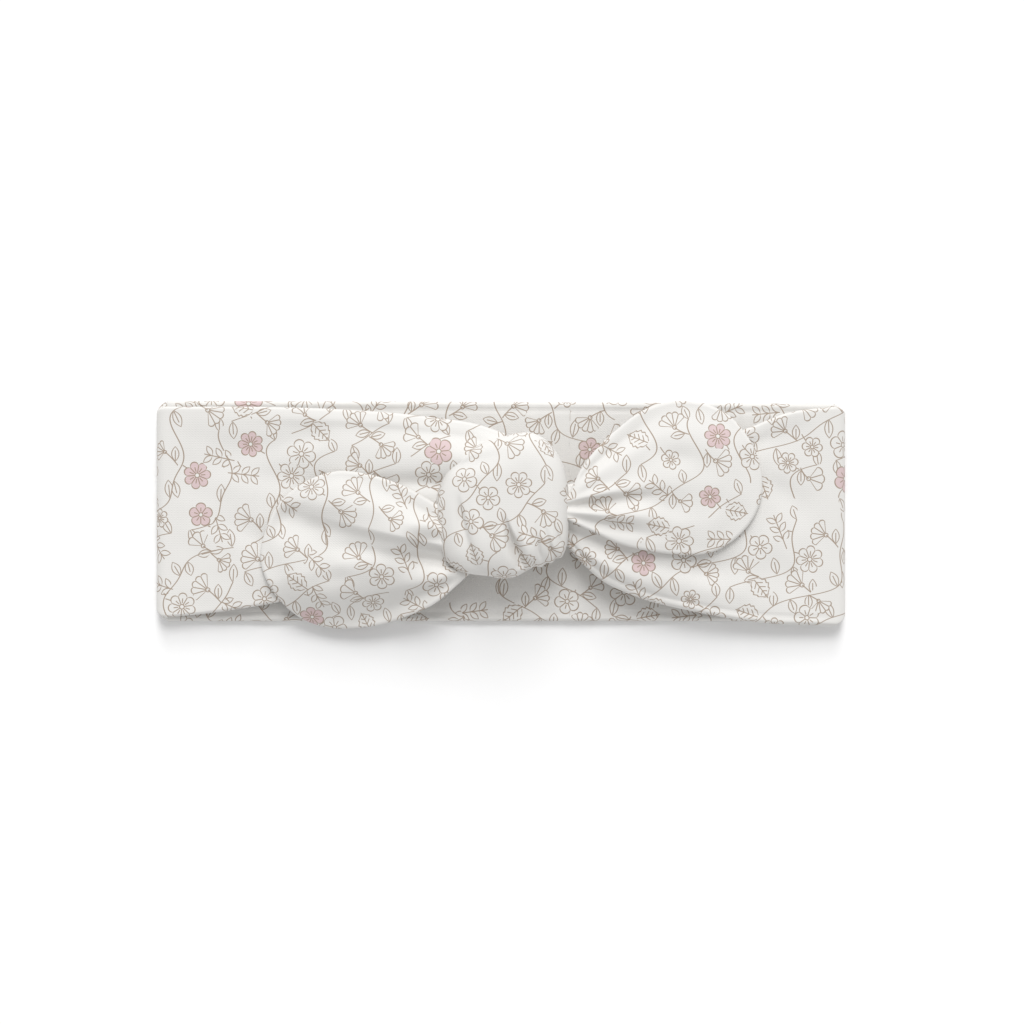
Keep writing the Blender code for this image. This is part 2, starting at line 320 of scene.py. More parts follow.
class HeadbandCloth(bpy.types.PropertyGroup):
    """Colours and pitch of the printed jersey."""

    ground: bpy.props.FloatVectorProperty(
        name="Ground", description="Colour of the plain jersey", subtype="COLOR", size=3,
        default=(0.75, 0.737, 0.713), min=0, max=1,
    )
    line: bpy.props.FloatVectorProperty(
        name="Line", description="Colour of the printed lines", subtype="COLOR", size=3,
        default=(0.32, 0.24, 0.175), min=0, max=1,
    )
    petal: bpy.props.FloatVectorProperty(
        name="Petal", description="Colour of the filled blossoms", subtype="COLOR", size=3,
        default=(0.655, 0.522, 0.525), min=0, max=1,
    )
    line_width: bpy.props.FloatProperty(
        name="Line width", description="Width of the printed lines, in millimetres",
        default=0.26, min=0.1, max=1,
    )
    rib_pitch: bpy.props.FloatProperty(
        name="Rib pitch", description="Distance between two knitted ribs, in millimetres",
        default=0.62, min=0.3, max=3,
    )


class HeadbandShape(bpy.types.PropertyGroup):
    """How full the cloth lies and how fine its meshes are."""

    step: bpy.props.FloatProperty(
        name="Mesh step", description="Distance between mesh rows, in millimetres",
        default=0.7, min=0.3, max=4,
    )
    seam_depth: bpy.props.FloatProperty(
        name="Seam depth", description="Depth of the groove beside each sewn edge, in millimetres",
        default=0.3, min=0, max=1,
    )
    fold_height: bpy.props.FloatProperty(
        name="Fold height", description="Scale of the folds in the cloth", default=1.0, min=0, max=2,
        subtype="FACTOR",
    )


class HeadbandStage(bpy.types.PropertyGroup):
    """The floor, the light and the camera."""

    key: bpy.props.FloatProperty(
        name="Key light", description="Strength of the light from above the band", default=1.28,
        min=0, max=20,
    )
    low: bpy.props.FloatProperty(
        name="Low light", description="Strength of the wide light from low behind the band", default=0.96,
        min=0, max=20,
    )
    fill: bpy.props.FloatProperty(
        name="Fill light", description="Strength of the even light around", default=0.59, min=0, max=5,
    )
    width: bpy.props.FloatProperty(
        name="View width", description="Width of what the camera sees", default=0.2687, min=0.05, max=2,
        unit="LENGTH",
    )


# ---- curves and surfaces ----


def ease(t):
    """0 to 1, level at both ends."""
    t = np.clip(t, 0.0, 1.0)
    return t * t * (3 - 2 * t)


def edge(points, x):
    """The y of a smooth curve through points, at each x."""
    xs, ys = np.array(points).T
    slopes = np.gradient(ys, xs)
    x = np.clip(x, xs[0], xs[-1])
    k = np.clip(np.searchsorted(xs, x) - 1, 0, len(xs) - 2)
    span = xs[k + 1] - xs[k]
    t = (x - xs[k]) / span
    low = ys[k] * (1 + 2 * t) * (1 - t) ** 2 + slopes[k] * span * t * (1 - t) ** 2
    high = ys[k + 1] * t * t * (3 - 2 * t) + slopes[k + 1] * span * t * t * (t - 1)
    return low + high


def closed_curve(points, count):
    """Evenly spaced points on a smooth closed curve through points."""
    p = np.array(points)
    before, after, beyond = np.roll(p, 1, 0), np.roll(p, -1, 0), np.roll(p, -2, 0)
    t = np.linspace(0, 1, CURVE_STEPS, endpoint=False)[None, :, None]
    a, b, c, d = (q[:, None, :] for q in (before, p, after, beyond))
    square, cube = 2 * a - 5 * b + 4 * c - d, 3 * b - a - 3 * c + d
    dense = 0.5 * (2 * b + (c - a) * t + square * t**2 + cube * t**3)
    dense = dense.reshape(-1, 2)
    dense = np.vstack([dense, dense[:1]])
    marks = np.concatenate([[0], np.cumsum(np.linalg.norm(np.diff(dense, axis=0), axis=1))])
    even = np.linspace(0, marks[-1], count, endpoint=False)
    return np.column_stack([np.interp(even, marks, dense[:, k]) for k in (0, 1)])


def settings():
    """The shape settings of this scene."""
    return bpy.context.scene.headband_shape


def folds(x, y, rows):
    """Height of the folds that rows describe, at each x, y."""
    total = np.zeros(np.broadcast(x, y).shape)
    for (x0, y0), heading, length, height, left, right, bend in rows:
        turn = math.radians(heading)
        along = (x - x0) * math.cos(turn) + (y - y0) * math.sin(turn)
        across = -(x - x0) * math.sin(turn) + (y - y0) * math.cos(turn)
        share = along / length
        across = across - bend * np.clip(share, 0, 1.5) ** 2
        spread = FOLD_START_WIDTH + FOLD_SPREAD * np.clip(share, 0, 1.2)
        width = np.where(across > 0, left, right) * spread
        fade = ease(FOLD_FADE_OUT - share) * ease((along + FOLD_RUN_IN) / FOLD_FADE_IN)
        total += height * fade * np.exp(-((across / width) ** 2))
    return total * settings().fold_height


def ripple(x, y, seed):
    """A slight unevenness of soft cloth, between about -1 and 1."""
    total = np.zeros(np.broadcast(x, y).shape)
    for k, (size, share) in enumerate(RIPPLES):
        turn = 0.9 * seed + 1.7 * k
        run = (x * math.cos(turn) + y * math.sin(turn)) / size * 2 * math.pi
        cross = (-x * math.sin(turn) + y * math.cos(turn)) / (1.3 * size) * 2 * math.pi
        total += share * np.sin(run + seed) * np.cos(cross + 2.1 * seed)
    return total


def seam(inset, run):
    """Height of a sewn edge: a rolled rim, a groove beside it and small puckers along it."""
    pucker = PUCKER_HEIGHT * np.sin(1.9 * run + np.sin(0.31 * run)) * np.exp(-inset / PUCKER_REACH)
    roll = ROLL_HEIGHT * np.exp(-(((inset - ROLL_AT) / ROLL_SPREAD) ** 2))
    groove = settings().seam_depth * np.exp(-(((inset - SEAM_AT) / SEAM_SPREAD) ** 2))
    return roll - groove + pucker


def nearness(x):
    """0 at a fold and 1 at the knot."""
    return ease((FOLD_X - np.abs(x)) / (FOLD_X - KNOT_HINGE_X))


def arm_low(x):
    """The underside of an arm."""
    return ARM_FOOT + (ARM_HEAD - ARM_FOOT) * nearness(x)


def arm_thick(x):
    """The thickness of an arm, which grows as its cloth gathers."""
    return TUBE + (ARM_THICK - TUBE) * nearness(x)


def even_ends(x):
    """0 where a piece meets a fold and 1 further in."""
    return ease((FOLD_X - np.abs(x)) / END_LENGTH)


# ---- meshes ----


def ring(columns, rim_steps):
    """Points round a flattened tube: place along the layers, out over the rim, and side.

    It runs from the low rim over the outer layer (side 1) to the high rim, and back along the
    inner layer (side -1). Returns three arrays of the same length.
    """
    quarter = np.linspace(0, math.pi / 2, rim_steps, endpoint=False)
    middle = np.linspace(-1, 1, columns)
    line = np.concatenate([np.full(rim_steps, -1.0), middle, np.full(rim_steps, 1.0)])
    out = np.concatenate([-np.cos(quarter), np.zeros(columns), np.cos(quarter[::-1])])
    side = np.concatenate([np.sin(quarter), np.ones(columns), np.sin(quarter[::-1])])
    return (
        np.concatenate([line, line[-2:0:-1]]),
        np.concatenate([out, out[-2:0:-1]]),
        np.concatenate([side, -side[-2:0:-1]]),
    )


def add_mesh(name, points, faces, uvs):
    """An object from points in millimetres. uvs holds each face's corners on the flat cloth."""
    mesh = bpy.data.meshes.new(name)
    mesh.from_pydata((np.asarray(points) * MM).tolist(), [], faces)
    layer = mesh.uv_layers.new(name="cloth")
    layer.data.foreach_set("uv", (np.concatenate(uvs) * MM).astype(np.float32).ravel())
    shaped = bmesh.new()
    shaped.from_mesh(mesh)
    bmesh.ops.recalc_face_normals(shaped, faces=shaped.faces)
    shaped.to_mesh(mesh)
    shaped.free()
    mesh.shade_smooth()
    mesh.set_sharp_from_angle(angle=math.radians(60))
    made = bpy.data.objects.new(name, mesh)
    bpy.context.scene.collection.objects.link(made)
    return made


def tube(name, places, outer, inner):
    """A closed length of tube. places is rows by ring; outer and inner hold each row's flat cloth."""
    rows, around = places.shape[:2]
    half = around // 2
    faces, uvs = [], []
    for r in range(rows - 1):
        here, there = r * around, (r + 1) * around
        for k in range(around):
            after = (k + 1) % around
            faces.append((here + k, here + after, there + after, there + k))
            flat = outer if k < half else inner
            a, b = (k, k + 1) if k < half else (around - k, around - k - 1)
            uvs.append([flat[r, a], flat[r, b], flat[r + 1, b], flat[r + 1, a]])
    for r in (0, rows - 1):
        for k in range(half):
            corners = dict.fromkeys((k, k + 1, around - k - 1, (around - k) % around))
            faces.append(tuple(r * around + c for c in corners))
            uvs.append([outer[r, k]] * len(corners))
    return add_mesh(name, places.reshape(-1, 3), faces, uvs)


def flat_ring(u, y_line, count):
    """Where one layer of each row lies on the flat cloth: along u, and over its rims by arc length."""
    quarter = np.linspace(math.pi / 2, 0, RIM_STEPS, endpoint=False)
    reach = np.concatenate([-quarter, np.zeros(count - 2 * RIM_STEPS), quarter[::-1]])
    v = y_line[:, :count] + (TUBE / 2 + RIM) / 2 * reach[None, :]
    return np.stack([np.broadcast_to(u[:, None], v.shape), v], axis=-1)


def section(x, top, bottom):
    """Each row's ring across the band between two edges: y on the line, y, side, and inset."""
    line, out, side = ring(COLUMNS, RIM_STEPS)
    high, low = np.asarray(top)[:, None], np.asarray(bottom)[:, None]
    middle, half = (high + low) / 2, (high - low) / 2
    y_line = middle + (half - RIM) * line[None, :]
    y = y_line + RIM * out[None, :]
    inset = half - np.abs(y - middle)
    return y_line, y, np.broadcast_to(side, y.shape), inset, np.broadcast_to(x[:, None], y.shape)


def rows_of(start, end):
    """Places along the band, one mesh step apart."""
    return np.linspace(start, end, max(3, round(abs(end - start) / settings().step) + 1))


def back_rows(start, end):
    """A length of the back: flat underneath, and a little uneven on its inner side."""
    xs = rows_of(start, end)
    y_line, y, side, inset, x = section(xs, edge(BACK_TOP, xs), edge(BACK_BOTTOM, xs))
    unevenness = BACK_UNEVENNESS * ripple(x, y, 1.0) + seam(inset, x)
    z = TUBE / 2 - side * TUBE / 2 - np.minimum(side, 0) * unevenness * even_ends(x)
    u = -LOOP_LENGTH / 2 - xs
    flat = flat_ring(u, y_line, y.shape[1] // 2 + 1)
    return np.stack([x, y, z], axis=-1), flat


def knuckle(places, flat, x, z):
    """Rows that turn about an axis along Y, inside the next piece, so that a bend stays closed."""
    last = places[-1]
    middle = last[:, 1].mean()
    for turn in KNUCKLE_TURNS:
        row = last.copy()
        reach = (last[:, 2] - z) * KNUCKLE_REACH
        row[:, 0] = x - reach * math.sin(turn)
        row[:, 2] = z + reach * math.cos(turn)
        row[:, 1] = middle + (last[:, 1] - middle) * KNUCKLE_WIDTH
        places = np.concatenate([places, row[None]])
        flat = np.concatenate([flat, flat[-1:] + np.array([[-TUBE * turn, 0.0]])])
    return places, flat


def arm_rows(xs, top, bottom, rows, seed, shift, sewn):
    """An arm from its fold to the knot: it rises, gathers and folds towards the knot."""
    y_line, y, side, inset, x = section(xs, edge(top, xs), edge(bottom, xs))
    low, thick = arm_low(x), arm_thick(x)
    upper = y > y.mean(axis=1)[:, None]
    reach = np.where(upper, FULL_REACH_TOP, FULL_REACH_BOTTOM)
    full = TUBE / 2 + (thick - TUBE) / 2 * ease(inset / reach)
    sag = nearness(x) * ARM_SAG * (1 - ease(inset / ARM_SAG_REACH)) * ~upper
    middle = low + thick / 2 - sag
    soft = ease((inset + SOFT_START) / SOFT_REACH)
    surface = folds(x, y, rows) * soft + UNEVENNESS * ripple(x, y, seed)
    surface = (surface + seam(inset, x) * sewn * (y < 0)) * even_ends(x)
    z = middle + side * full + (np.maximum(side, 0) - np.maximum(-side, 0) * UNDERSIDE_SHARE) * surface
    z = np.maximum(z, TUBE + ARM_GAP + (side + 1) * LAYER_GAP)
    flat = flat_ring(xs + shift, y_line, y.shape[1] // 2 + 1)
    return np.stack([x, y, z], axis=-1), flat


def fold_rows(x, arm_top, arm_bottom, u_start):
    """The half turn from the back to an arm, with rounded corners."""
    side_of = math.copysign(1, x)
    turns = np.linspace(0, 1, TURN_STEPS)
    angles = math.pi * (turns - 0.5)
    beyond = FOLD_RADIUS * np.cos(angles)
    radius = FOLD_RADIUS * CORNER_RADIUS
    cut = CORNER_CUT * (radius - np.sqrt(radius**2 - beyond**2))
    share, at = ease(turns), np.array([x])
    high = edge(BACK_TOP, at) * (1 - share) + edge(arm_top, at) * share - cut
    low = edge(BACK_BOTTOM, at) * (1 - share) + edge(arm_bottom, at) * share + cut
    y_line, y, side, _, angle = section(angles, high, low)
    radius = FOLD_RADIUS - TUBE / 2 + side * TUBE / 2
    places = np.stack([
        x + side_of * radius * np.cos(angle),
        y,
        FOLD_Z + radius * np.sin(angle),
    ], axis=-1)
    u = u_start - side_of * FOLD_RADIUS * (angles + math.pi / 2)
    return places, flat_ring(u, y_line, y.shape[1] // 2 + 1)


def reach_to(points, rim):
    """Each point's distance to the nearest point of a closed outline."""
    dense = closed_curve(rim, OUTLINE_POINTS)
    parts = np.array_split(points, BATCHES)
    return np.concatenate([np.sqrt(((p[:, None, :] - dense[None]) ** 2).sum(-1)).min(1) for p in parts])


def pillow(name, rim, middle, top, bottom, shift, rings, crowd, around=AROUND):
    """A closed soft form inside an outline.

    top and bottom give z at x, y and inset. shift is where its cloth is cut from the print.
    """
    outline = closed_curve(rim, around)
    middle = np.array(middle)
    shares = 1 - (1 - np.linspace(0, 1, rings + 1)[1:]) ** crowd
    plan = middle + (outline - middle)[None] * shares[:, None, None]
    flat = plan.reshape(-1, 2)
    inset = reach_to(flat, rim)
    inset[-around:] = 0
    layers = []
    for height in (top, bottom):
        z = height(flat[:, 0], flat[:, 1], inset)
        centre = height(middle[:1], middle[1:], reach_to(middle[None], rim))
        layers.append((np.column_stack([flat, z]), np.array([*middle, centre[0]])))
    (upper, upper_middle), (lower, lower_middle) = layers
    rim_z = (upper[-around:, 2] + lower[-around:, 2]) / 2
    lower[-around:] = upper[-around:] = np.column_stack([outline, rim_z])
    points = np.vstack([upper, upper_middle[None], lower[:-around], lower_middle[None]])
    faces, uvs = [], []
    for base, layer, centre, start in (
        (0, upper, upper_middle, np.array(shift)),
        (len(upper) + 1, lower, lower_middle, np.array(shift) + LINING_SHIFT),
    ):
        grid = layer.reshape(rings, around, 3)
        rays = np.concatenate([np.broadcast_to(centre, (1, around, 3)), grid])
        steps = np.linalg.norm(np.diff(rays, axis=0), axis=-1)
        ray = (outline - middle) / np.linalg.norm(outline - middle, axis=1)[:, None]
        cloth = start + middle + ray[None] * np.cumsum(steps, axis=0)[:, :, None]

        def index(r, k, base=base):
            return r * around + k if r == rings - 1 else base + r * around + k

        hub = base + (rings * around if base == 0 else (rings - 1) * around)
        for k in range(around):
            after = (k + 1) % around
            faces.append((hub, index(0, k), index(0, after)))
            uvs.append([start + middle, cloth[0, k], cloth[0, after]])
            for r in range(rings - 1):
                faces.append((index(r, k), index(r + 1, k), index(r + 1, after), index(r, after)))
                uvs.append([cloth[r, k], cloth[r + 1, k], cloth[r + 1, after], cloth[r, after]])
    return add_mesh(name, points, faces, uvs)


def rolled(inset, reach, power=2.0):
    """0 at the rim and 1 further in than reach, with an upright start."""
    t = np.clip(1 - inset / reach, 0, 1)
    return (1 - t**power) ** (1 / power)


# ---- the printed jersey ----


class Signal:
    """A value in a shader; arithmetic on it adds maths nodes."""

    def __init__(self, tree, socket):
        self.tree, self.socket = tree, socket

    def math(self, operation, *others):
        node = self.tree.nodes.new("ShaderNodeMath")
        node.operation = operation
        for target, value in zip(node.inputs, (self, *others), strict=False):
            if isinstance(value, Signal):
                self.tree.links.new(value.socket, target)
            else:
                target.default_value = value
        return Signal(self.tree, node.outputs[0])

    def __add__(self, other):
        return self.math("ADD", other)

    def __mul__(self, other):
        return self.math("MULTIPLY", other)

    def __sub__(self, other):
        return self.math("SUBTRACT", other)

    def __rsub__(self, other):
        return (self * -1) + other

    def __truediv__(self, other):
        return self.math("DIVIDE", other)

    def __rtruediv__(self, other):
        return self.math("POWER", -1.0) * other

    def __abs__(self):
        return self.math("ABSOLUTE")

    def floor(self):
        return self.math("FLOOR")

    def fract(self):
        return self.math("FRACT")

    def sin(self):
        return self.math("SINE")

    def cos(self):
        return self.math("COSINE")

    def root(self):
        return self.math("SQRT")

    def lesser(self, other):
        return self.math("MINIMUM", other)

    def under(self, other):
        return self.math("LESS_THAN", other)

    def over(self, other):
        return self.math("GREATER_THAN", other)

    def toward(self, other, share):
        """This value where share is 0, other where it is 1."""
        return self + (other - self) * share


FAR = 9.0  # added to a distance where its line isn't drawn
VINE_GAP = 12.6  # between two vines
SLOT = 7.2  # between two flower heads along a vine
PRINT_START = (310.0, 170.0)  # where the band is cut from the printed cloth
PRINT_TURN = math.radians(52)  # how the print lies across the band
HEAD_HEIGHT = 4.2  # of a flower head above its vine
FAN_FROM, LEAF_FROM, SPRIG_FROM = 0.25, 0.70, 0.85  # which share of the heads is which kind
FILLED = 0.22  # share of the blossoms that are filled
SMALLEST, SIZE_SPREAD = 2.3, 1.5  # the smallest blossom's radius, and how much larger others are
FAN_LARGER = 0.7  # how much larger a fan flower is
WAVES = ((6.0, 44.0, 0.0), (1.5, 17.0, 1.3))  # height, length and phase of a vine's waves
SLANT = 0.35  # how far a vine's waves move along from one vine to the next
HEIGHT_SPREAD = 1.2  # between the lowest and the highest head
HEAD_SHIFT = 0.3  # how far a head may stand from its slot's middle, as a share of the slot
HEAD_TILT = 1.3  # the range of a head's tilt, in radians
STEM_BEND = 2.4  # the range of a stem's sideways bend at its foot
STEM_LEAF_LENGTH, STEM_LEAF_WIDTH, STEM_LEAF_LEAN = 3.8, 0.95, math.radians(38)
VINE_LEAF_LENGTH, VINE_LEAF_SPREAD, VINE_LEAF_WIDTH = 3.6, 1.4, 1.05
VINE_LEAF_LEAN, VINE_LEAF_TURN = 0.6, 0.6  # the least lean, and how much more others lean
NO_VINE_LEAF = 0.15  # share of the vine's leaf places that are empty
GAP_HALF = 0.27  # half the width of a gap in a vine, as a share of a slot
LEAF_HALF, LEAF_WIDTH = 3.1, 2.5  # half the length and half the width of a toothed leaf
SPRIG_STEP = 2.5  # between two pairs of leaflets
LEAFLET_LENGTH, LEAFLET_WIDTH, LEAFLET_LEAN = 2.9, 0.66, math.radians(42)


def wave(u, v):
    """How far a vine is from its straight line."""
    run = u + v * SLANT
    parts = [(run * (2 * math.pi / length) + phase).sin() * height for height, length, phase in WAVES]
    return parts[0] + parts[1]


def steepness(u, v):
    """The share of a vertical distance to a vine that is left square to it."""
    run = u + v * SLANT
    parts = [
        (run * (2 * math.pi / length) + phase).cos() * (height * 2 * math.pi / length)
        for height, length, phase in WAVES
    ]
    slope = parts[0] + parts[1]
    return 1 / (slope * slope + 1).root()


def chance(tree, a, b):
    """Three random shares for a pair of whole numbers."""
    place = tree.nodes.new("ShaderNodeCombineXYZ")
    tree.links.new(a.socket, place.inputs[0])
    tree.links.new(b.socket, place.inputs[1])
    noise = tree.nodes.new("ShaderNodeTexWhiteNoise")
    noise.noise_dimensions = "2D"
    tree.links.new(place.outputs[0], noise.inputs["Vector"])
    parts = tree.nodes.new("ShaderNodeSeparateColor")
    tree.links.new(noise.outputs["Color"], parts.inputs[0])
    return [Signal(tree, socket) for socket in parts.outputs]


def head_place(tree, u, v, slot, row):
    """From a slot's flower head: across, up along its stem, the stem's height, and its chances."""
    shares = chance(tree, slot, row)
    hangs = ((slot + row) * 0.5).fract() * 2
    height = shares[1] * HEIGHT_SPREAD + (HEAD_HEIGHT - HEIGHT_SPREAD / 2)
    level = row * VINE_GAP + height.toward(VINE_GAP - height, hangs)
    across = (slot + 0.5 + (shares[0] - 0.5) * HEAD_SHIFT) * SLOT
    up = (v - level - wave(across, level + wave(across, level))) * (1 - hangs * 2)
    return u - across, up, height, shares


def blade(across, up, lean, length, width, vein=True):
    """Distance to the outline, and to the vein, of a small leaf that starts at 0, 0."""
    if isinstance(lean, Signal):
        cosine, sine = lean.cos(), lean.sin()
    else:
        cosine, sine = math.cos(lean), math.sin(lean)
    along = across * cosine + up * sine
    beside = abs(up * cosine - across * sine)
    swell = along * 2 / length - 1
    outline = abs(beside - (1 - swell * swell) * width)
    if not vein:
        return outline
    return outline.lesser(beside + abs(along / length - 0.4).over(0.34) * FAR)


def flower(across, up, shares):
    """Distance to the lines of a blossom or a fan flower, its inside, and its core."""
    fan = shares[2].over(FAN_FROM)
    open_fan = shares[1].over(0.25)
    petals = ((shares[1] * 3).floor() + 5).toward(open_fan * 4 + 10, fan)
    spread = (fan * -4 + 4.1) + fan * (open_fan * 0.18 + 0.842)
    size = (shares[0] * 9.7).fract().root() * SIZE_SPREAD + SMALLEST + fan * FAN_LARGER
    r = (across * across + up * up).root()
    angle = across.math("ARCTAN2", up)
    beyond = abs(angle).over(spread + 0.02)
    turn = angle * petals / (2 * math.pi)
    off = abs(turn - (turn + 0.5).floor())
    bulge = (off * math.pi).cos().root()
    rim = size * (1 - (1 - bulge) * (0.36 - fan * 0.2))
    core = size * (0.17 - fan * 0.05)
    lines = abs(r - rim) * 0.85
    arc = r * (2 * math.pi) / petals
    lines = lines.lesser((0.5 - off) * arc + r.over(rim) * FAR + r.under(core) * FAR)
    lines = lines.lesser(off * arc + abs(r / size - 0.44).over(0.17) * FAR + fan * FAR)
    lines = (lines + beyond * FAR).lesser(abs(r - core))
    inside = r.under(rim) * (1 - beyond)
    return lines, inside, inside * r.over(core) * (1 - fan)


def leaf(across, up):
    """Distance to the lines of a toothed leaf."""
    side = abs(across)
    tooth = (up * 0.8).fract()
    bite = (tooth * 1.2).lesser((1 - tooth) * 2.4) * 0.24
    width = (1 - up * up / 9.6 - up * 0.08) * LEAF_WIDTH * (1 - bite)
    ends = abs(up).over(LEAF_HALF) * FAR
    lines = (abs(side - width) * 0.8).lesser(side) + ends
    veins = abs((up * 0.75 - side * 0.6).fract() - 0.5) * 1.1
    return lines.lesser(veins + side.over(width * 0.6) * FAR + abs(up).over(2.5) * FAR)


def sprig(across, up):
    """Distance to the lines of a stem with pairs of leaflets."""
    side = abs(across)
    step = ((up + 4.4) / SPRIG_STEP).fract() * SPRIG_STEP
    lines = blade(side, step, LEAFLET_LEAN, LEAFLET_LENGTH, LEAFLET_WIDTH, vein=False)
    lines = lines + abs(up + 0.6).over(3.6) * FAR
    return lines.lesser(side + up.over(2.8) * FAR)


def print_lines(tree, u, v):
    """The distance to the nearest printed line, and where petals are filled."""
    rise = (v - wave(u, v)) / VINE_GAP
    row = rise.floor()
    fraction = rise.fract()
    beyond = row + fraction.over(0.5) * 2 - 1
    first = (u / SLOT).floor()
    best_slot, best_row, nearest = first, row, None
    for near_row in (row, beyond):
        for offset in (-1, 0, 1):
            slot = first + offset
            across, up, _, _ = head_place(tree, u, v, slot, near_row)
            away = across * across + up * up
            if nearest is None:
                best_slot, nearest = slot, away
                continue
            closer = away.under(nearest)
            best_slot = best_slot.toward(slot, closer)
            best_row = best_row.toward(near_row, closer)
            nearest = nearest.lesser(away)
    across, up, height, shares = head_place(tree, u, v, best_slot, best_row)

    tilt = (shares[0] - 0.5) * HEAD_TILT
    turned_across = across * tilt.cos() - up * tilt.sin()
    turned_up = across * tilt.sin() + up * tilt.cos()
    lines, inside, petal = flower(turned_across, turned_up, shares)
    leafy = shares[2].over(LEAF_FROM)
    foliage = leaf(turned_across, turned_up)
    foliage = foliage.toward(sprig(turned_across, turned_up), shares[2].over(SPRIG_FROM))
    lines = lines.toward(foliage, leafy)
    inside = inside.toward(abs(turned_across).under(1.9) * abs(turned_up).under(3), leafy)
    filled = petal * (shares[0] * 13.7).fract().under(FILLED)

    low = up / height
    bend = (shares[0] - 0.5) * STEM_BEND
    stem = abs(across - bend * low * low) * 0.92
    stem = stem + up.over(0) * FAR + low.under(-1) * FAR
    hand = shares[1].over(0.5) * 2 - 1
    beside, above = (across - bend * 0.35) * hand, up + height * 0.75
    side_leaf = blade(beside, above, STEM_LEAF_LEAN, STEM_LEAF_LENGTH, STEM_LEAF_WIDTH)
    growth = stem.lesser(side_leaf + (leafy + shares[2].under(FAN_FROM)) * FAR)

    vine = row + fraction.over(0.5)
    bare = ((first + vine) * 0.5).fract() * 2 * chance(tree, first, vine + 0.25)[0].under(0.5)
    broken = bare * abs(u / SLOT - first - 0.5).under(GAP_HALF)
    vines = fraction.lesser(1 - fraction) * (steepness(u, v) * VINE_GAP)
    growth = growth.lesser(vines + broken * FAR)

    lower = ((first + row) * 0.5).fract() * 2
    pick = chance(tree, first, row + 0.5)
    level = (row + 1 - lower) * VINE_GAP
    across = (first + 0.78 - lower * 0.56) * SLOT
    level = level + wave(across, level + wave(across, level))
    up = (v - level) * (lower * 2 - 1)
    across = (u - across) * (lower * 2 - 1)
    lean = pick[0] * VINE_LEAF_TURN + VINE_LEAF_LEAN
    length = pick[1] * VINE_LEAF_SPREAD + VINE_LEAF_LENGTH
    vine_leaf = blade(across, up, lean, length, VINE_LEAF_WIDTH)
    growth = growth.lesser(vine_leaf + pick[2].under(NO_VINE_LEAF) * FAR)
    return lines.lesser(growth + inside * FAR), filled


# The jersey's finish, the softness of its printed lines, and its knit
ROUGHNESS, SPECULAR, SHEEN = 0.86, 0.25, 0.08
LINE_CORE, LINE_RIM = 0.3, 0.7  # where a line starts to fade and ends, as shares of its width
LINE_COVER = 0.9  # how strongly a line covers the cloth
STITCH_LENGTH = 1.25  # against the rib pitch
WALE_SHARE, STITCH_SHARE = 0.35, 0.9
BUMP_STRENGTH, BUMP_HEIGHT = 0.3, 0.05  # the height in millimetres


def jersey(name):
    """The printed jersey: off-white knit with thin line drawings of flowers."""
    if name in bpy.data.materials:
        return bpy.data.materials[name]
    cloth = bpy.context.scene.headband_cloth
    made = bpy.data.materials.new(name)
    made.use_nodes = True
    tree = made.node_tree
    shader = tree.nodes["Principled BSDF"]
    shader.inputs["Roughness"].default_value = ROUGHNESS
    shader.inputs["Specular IOR Level"].default_value = SPECULAR
    shader.inputs["Sheen Weight"].default_value = SHEEN

    where = tree.nodes.new("ShaderNodeUVMap")
    where.uv_map = "cloth"
    parts = tree.nodes.new("ShaderNodeSeparateXYZ")
    tree.links.new(where.outputs[0], parts.inputs[0])
    u = Signal(tree, parts.outputs[0]) / MM + PRINT_START[0]
    v = Signal(tree, parts.outputs[1]) / MM + PRINT_START[1]
    cosine, sine = math.cos(PRINT_TURN), math.sin(PRINT_TURN)
    lines, filled = print_lines(tree, u * cosine + v * sine, v * cosine - u * sine)
    soft = tree.nodes.new("ShaderNodeMapRange")
    soft.interpolation_type = "SMOOTHSTEP"
    tree.links.new(lines.socket, soft.inputs["Value"])
    soft.inputs["From Min"].default_value = cloth.line_width * LINE_CORE
    soft.inputs["From Max"].default_value = cloth.line_width * LINE_RIM
    soft.inputs["To Min"].default_value = LINE_COVER
    soft.inputs["To Max"].default_value = 0.0

    colour = None
    for share, tint in ((filled, cloth.petal), (Signal(tree, soft.outputs[0]), cloth.line)):
        mixed = tree.nodes.new("ShaderNodeMix")
        mixed.data_type = "RGBA"
        tree.links.new(share.socket, mixed.inputs["Factor"])
        if colour is None:
            mixed.inputs[6].default_value = (*cloth.ground, 1)
        else:
            tree.links.new(colour, mixed.inputs[6])
        mixed.inputs[7].default_value = (*tint, 1)
        colour = mixed.outputs[2]
    tree.links.new(colour, shader.inputs["Base Color"])

    wale = (v * (2 * math.pi / cloth.rib_pitch)).sin()
    course = (u * (2 * math.pi / (STITCH_LENGTH * cloth.rib_pitch))).sin()
    ribs = wale * (course * STITCH_SHARE + WALE_SHARE)
    bump = tree.nodes.new("ShaderNodeBump")
    bump.inputs["Strength"].default_value = BUMP_STRENGTH
    bump.inputs["Distance"].default_value = BUMP_HEIGHT * MM
    tree.links.new(ribs.socket, bump.inputs["Height"])
    tree.links.new(bump.outputs["Normal"], shader.inputs["Normal"])
    return made


